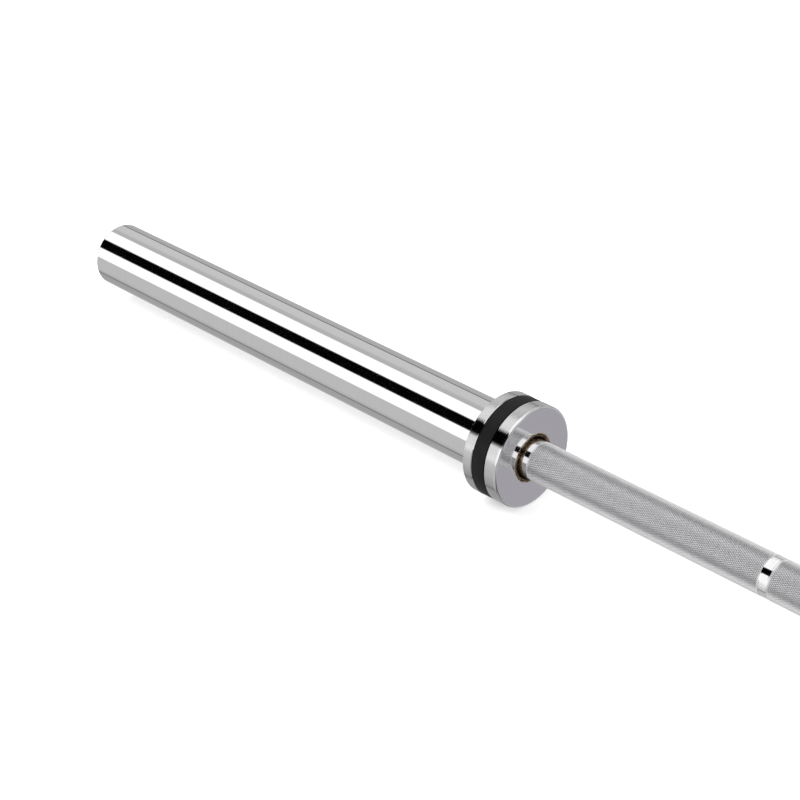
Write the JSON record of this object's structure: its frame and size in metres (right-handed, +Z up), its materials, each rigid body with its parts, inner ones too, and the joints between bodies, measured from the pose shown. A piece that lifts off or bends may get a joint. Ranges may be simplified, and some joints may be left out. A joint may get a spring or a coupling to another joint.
{
  "type": "olympic barbell",
  "caption": "Weightlifting bar with a knurled steel shaft and, on each end, a polished plate sleeve that revolves on bushings and needle bearings behind a banded collar.",
  "frame": {"origin": "the middle of the bar, on its axis", "axes": "+X along the bar towards the right sleeve, +Y away from the viewer, +Z up"},
  "size_m": [2.2, 0.074, 0.074],
  "materials": {
    "shaft_chrome": "hard chrome, knurled grip",
    "sleeve_chrome": "polished hard chrome",
    "collar_chrome": "polished hard chrome",
    "band": "satin black band, bare",
    "bronze": "oiled sintered bronze",
    "washer_steel": "ground",
    "cup_steel": "drawn steel",
    "cage_steel": "pressed steel",
    "roller_steel": "ground and polished",
    "spring_steel": "black phosphate",
    "cap_chrome": "polished, with a turned dish",
    "o_ring_rubber": "matt"
  },
  "bodies": {
    "shaft": {"shaft": "shaft_chrome", "left_shaft_retaining_ring": "spring_steel", "right_shaft_retaining_ring": "spring_steel"},
    "left_sleeve": {"left_sleeve_tube": "sleeve_chrome", "left_collar": "collar_chrome", "left_collar_band": "band", "left_inner_bushing": "bronze", "left_inner_thrust_washer": "washer_steel", "left_inner_bearing_cup": "cup_steel", "left_outer_bearing_cup": "cup_steel", "left_outer_bushing": "bronze", "left_outer_thrust_washer": "washer_steel", "left_end_cap": "cap_chrome", "left_end_cap_o_ring": "o_ring_rubber", "left_end_cap_retaining_ring": "spring_steel"},
    "left_inner_roller_set": {"left_inner_bearing_cage": "cage_steel", "left_inner_bearing_rollers": "roller_steel"},
    "left_outer_roller_set": {"left_outer_bearing_cage": "cage_steel", "left_outer_bearing_rollers": "roller_steel"},
    "right_sleeve": {"right_sleeve_tube": "sleeve_chrome", "right_collar": "collar_chrome", "right_collar_band": "band", "right_inner_bushing": "bronze", "right_inner_thrust_washer": "washer_steel", "right_inner_bearing_cup": "cup_steel", "right_outer_bearing_cup": "cup_steel", "right_outer_bushing": "bronze", "right_outer_thrust_washer": "washer_steel", "right_end_cap": "cap_chrome", "right_end_cap_o_ring": "o_ring_rubber", "right_end_cap_retaining_ring": "spring_steel"},
    "right_inner_roller_set": {"right_inner_bearing_cage": "cage_steel", "right_inner_bearing_rollers": "roller_steel"},
    "right_outer_roller_set": {"right_outer_bearing_cage": "cage_steel", "right_outer_bearing_rollers": "roller_steel"}
  },
  "joints": [
    {"name": "left_sleeve_spin", "type": "hinge", "parent": "shaft", "child": "left_sleeve", "pos_m": [-0.8775, 0, 0], "axis": [1, 0, 0], "continuous": true},
    {"name": "left_inner_roller_set_spin", "type": "hinge", "parent": "shaft", "child": "left_inner_roller_set", "pos_m": [-0.69887, 0, 0], "axis": [1, 0, 0], "continuous": true},
    {"name": "left_outer_roller_set_spin", "type": "hinge", "parent": "shaft", "child": "left_outer_roller_set", "pos_m": [-1.043, 0, 0], "axis": [1, 0, 0], "continuous": true},
    {"name": "right_sleeve_spin", "type": "hinge", "parent": "shaft", "child": "right_sleeve", "pos_m": [0.8775, 0, 0], "axis": [1, 0, 0], "continuous": true},
    {"name": "right_inner_roller_set_spin", "type": "hinge", "parent": "shaft", "child": "right_inner_roller_set", "pos_m": [0.69887, 0, 0], "axis": [1, 0, 0], "continuous": true},
    {"name": "right_outer_roller_set_spin", "type": "hinge", "parent": "shaft", "child": "right_outer_roller_set", "pos_m": [1.043, 0, 0], "axis": [1, 0, 0], "continuous": true}
  ],
  "couplings": [
    {"joint": "left_inner_roller_set_spin", "follows": "left_sleeve_spin", "ratio": 0.54595},
    {"joint": "left_outer_roller_set_spin", "follows": "left_sleeve_spin", "ratio": 0.54595},
    {"joint": "right_inner_roller_set_spin", "follows": "right_sleeve_spin", "ratio": 0.54595},
    {"joint": "right_outer_roller_set_spin", "follows": "right_sleeve_spin", "ratio": 0.54595}
  ]
}
